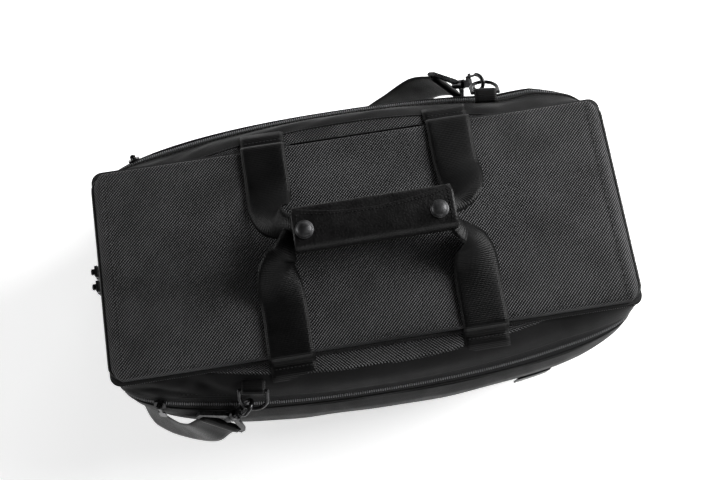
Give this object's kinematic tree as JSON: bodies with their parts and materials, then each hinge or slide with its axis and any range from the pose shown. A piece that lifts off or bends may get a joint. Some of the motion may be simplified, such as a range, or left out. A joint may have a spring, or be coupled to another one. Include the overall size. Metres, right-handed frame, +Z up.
{
  "type": "soft carry case",
  "caption": "Soft-sided black carry case for tabletop miniatures, with a zipped lid, padded pockets, webbing handles, a snap grip and a clip-on shoulder strap.",
  "frame": {"origin": "centre of the case's flat bottom face", "axes": "+X along the case towards its right end, -Y is the front with the front pocket, +Z up"},
  "size_m": [0.4556, 0.3096, 0.2459],
  "materials": {
    "nylon": "black ballistic twill nylon",
    "padded_fabric": "black smooth padded fabric",
    "zipper": "black zipper tape and coil",
    "webbing": "black ribbed satin webbing",
    "leather": "black pebbled leather",
    "black_metal": "glossy black plated metal",
    "foam": "charcoal foam"
  },
  "bodies": {
    "case": {"base_panel": "nylon", "front_wall": "nylon", "back_wall": "nylon", "right_end_wall": "nylon", "left_end_wall": "nylon", "front_shoulder": "nylon", "back_shoulder": "nylon", "lid_zip_lower": "zipper", "lid_hinge_strip": "zipper", "front_pocket_face": "padded_fabric", "front_pocket_gusset": "padded_fabric", "front_pocket_zip": "zipper", "front_pocket_floor": "padded_fabric", "rear_pocket_face": "padded_fabric", "rear_pocket_gusset": "padded_fabric", "rear_pocket_zip": "zipper", "rear_pocket_floor": "padded_fabric", "front_patch": "leather", "front_ring_tab": "webbing", "rear_ring_tab": "webbing", "front_hook_loop": "black_metal", "rear_hook_loop": "black_metal", "shoulder_strap": "webbing", "lower_tray_floor": "foam", "lower_tray_rails": "foam", "lower_tray_dividers": "foam", "upper_tray_floor": "foam", "upper_tray_rails": "foam", "upper_tray_spine": "foam", "upper_tray_dividers": "foam"},
    "lid": {"lid_panel": "nylon", "lid_right_roll": "nylon", "lid_left_roll": "nylon", "lid_edge_bands": "nylon", "lid_piping": "zipper", "lid_zip_upper": "zipper"},
    "front_handle": {"front_handle_webbing": "webbing"},
    "rear_handle": {"rear_handle_webbing": "webbing", "grip_wrap": "leather", "snap_studs": "black_metal"},
    "flap": {"grip_flap": "leather", "snap_caps": "black_metal"},
    "front_ring": {"front_d_ring": "black_metal"},
    "rear_ring": {"rear_d_ring": "black_metal"},
    "front_claw": {"front_hook_claw": "black_metal"},
    "rear_claw": {"rear_hook_claw": "black_metal"},
    "front_gate": {"front_hook_gate": "black_metal"},
    "rear_gate": {"rear_hook_gate": "black_metal"},
    "lid_slider_front": {"lid_slider_front": "black_metal"},
    "lid_slider_rear": {"lid_slider_rear": "black_metal"},
    "lid_pull_front": {"lid_pull_front": "black_metal"},
    "lid_pull_rear": {"lid_pull_rear": "black_metal"},
    "front_pocket_slider": {"front_pocket_slider": "black_metal"},
    "rear_pocket_slider": {"rear_pocket_slider": "black_metal"},
    "front_pocket_pull": {"front_pocket_pull": "black_metal"},
    "rear_pocket_pull": {"rear_pocket_pull": "black_metal"}
  },
  "joints": [
    {"name": "lid_open", "type": "hinge", "parent": "case", "child": "lid", "pos_m": [0, 0.0935, 0.1897], "axis": [-1, 0, 0], "range_deg": [0, 100], "deforming": ["lid_hinge_strip"]},
    {"name": "front_handle_swing", "type": "hinge", "parent": "case", "child": "front_handle", "pos_m": [0, -0.107, 0.1882], "axis": [1, 0, 0], "range_deg": [0, 140], "deforming": ["front_handle_webbing"]},
    {"name": "rear_handle_swing", "type": "hinge", "parent": "case", "child": "rear_handle", "pos_m": [0, 0.107, 0.1882], "axis": [-1, 0, 0], "range_deg": [0, 140], "deforming": ["rear_handle_webbing"]},
    {"name": "grip_flap_open", "type": "hinge", "parent": "rear_handle", "child": "flap", "pos_m": [0, -0.0134, 0.225], "axis": [1, 0, 0], "range_deg": [0, 100]},
    {"name": "front_ring_swing", "type": "hinge", "parent": "case", "child": "front_ring", "pos_m": [-0.108, -0.1125, 0.1892], "axis": [0.9871, -0.16, 0], "range_deg": [0, 6]},
    {"name": "front_hook_swivel", "type": "hinge", "parent": "case", "child": "front_claw", "pos_m": [-0.11685, -0.1242, 0.17594], "axis": [-0.7018, -0.1704, -0.6917], "range_deg": [-10, 10]},
    {"name": "front_gate_open", "type": "hinge", "parent": "front_claw", "child": "front_gate", "pos_m": [-0.12462, -0.1302, 0.17258], "axis": [-0.6509, 0.548, 0.5253], "range_deg": [0, 12], "stiffness_Nm_per_rad": 0.02, "springref_deg": -17.19},
    {"name": "rear_ring_swing", "type": "hinge", "parent": "case", "child": "rear_ring", "pos_m": [0.1275, 0.114, 0.1892], "axis": [-0.9949, 0.1005, 0], "range_deg": [0, 6]},
    {"name": "rear_hook_swivel", "type": "hinge", "parent": "case", "child": "rear_claw", "pos_m": [0.12396, 0.12921, 0.17676], "axis": [-0.6497, 0.3198, -0.6897], "range_deg": [-10, 10]},
    {"name": "rear_gate_open", "type": "hinge", "parent": "rear_claw", "child": "rear_gate", "pos_m": [0.11793, 0.13688, 0.17324], "axis": [0.7581, 0.3403, -0.5563], "range_deg": [0, 12], "stiffness_Nm_per_rad": 0.02, "springref_deg": -17.19},
    {"name": "lid_slider_front_run", "type": "slide", "parent": "case", "child": "lid_slider_front", "axis": [0, -1, 0], "range_m": [0, 0.07]},
    {"name": "lid_pull_front_lift", "type": "hinge", "parent": "lid_slider_front", "child": "lid_pull_front", "pos_m": [-0.2285, -0.0065, 0.1897], "axis": [0, 1, 0], "range_deg": [0, 110]},
    {"name": "lid_slider_rear_run", "type": "slide", "parent": "case", "child": "lid_slider_rear", "axis": [0, 1, 0], "range_m": [0, 0.07]},
    {"name": "lid_pull_rear_lift", "type": "hinge", "parent": "lid_slider_rear", "child": "lid_pull_rear", "pos_m": [-0.2285, 0.0065, 0.1897], "axis": [0, 1, 0], "range_deg": [0, 110]},
    {"name": "front_pocket_slider_run", "type": "slide", "parent": "case", "child": "front_pocket_slider", "axis": [0.9646, -0.2636, 0], "range_m": [0, 0.018]},
    {"name": "front_pocket_pull_lift", "type": "hinge", "parent": "front_pocket_slider", "child": "front_pocket_pull", "pos_m": [-0.18945, -0.11179, 0.16781], "axis": [-0.9646, 0.2636, 0], "range_deg": [0, 100]},
    {"name": "rear_pocket_slider_run", "type": "slide", "parent": "case", "child": "rear_pocket_slider", "axis": [0.9646, 0.2636, 0], "range_m": [0, 0.018]},
    {"name": "rear_pocket_pull_lift", "type": "hinge", "parent": "rear_pocket_slider", "child": "rear_pocket_pull", "pos_m": [-0.18945, 0.11179, 0.16781], "axis": [0.9646, 0.2636, 0], "range_deg": [0, 100]}
  ],
  "couplings": [
    {"joint": "front_handle_swing", "follows": "lid_open", "ratio": 1.4},
    {"joint": "rear_handle_swing", "follows": "lid_open", "ratio": 1.4},
    {"joint": "grip_flap_open", "follows": "lid_open", "ratio": 1}
  ]
}
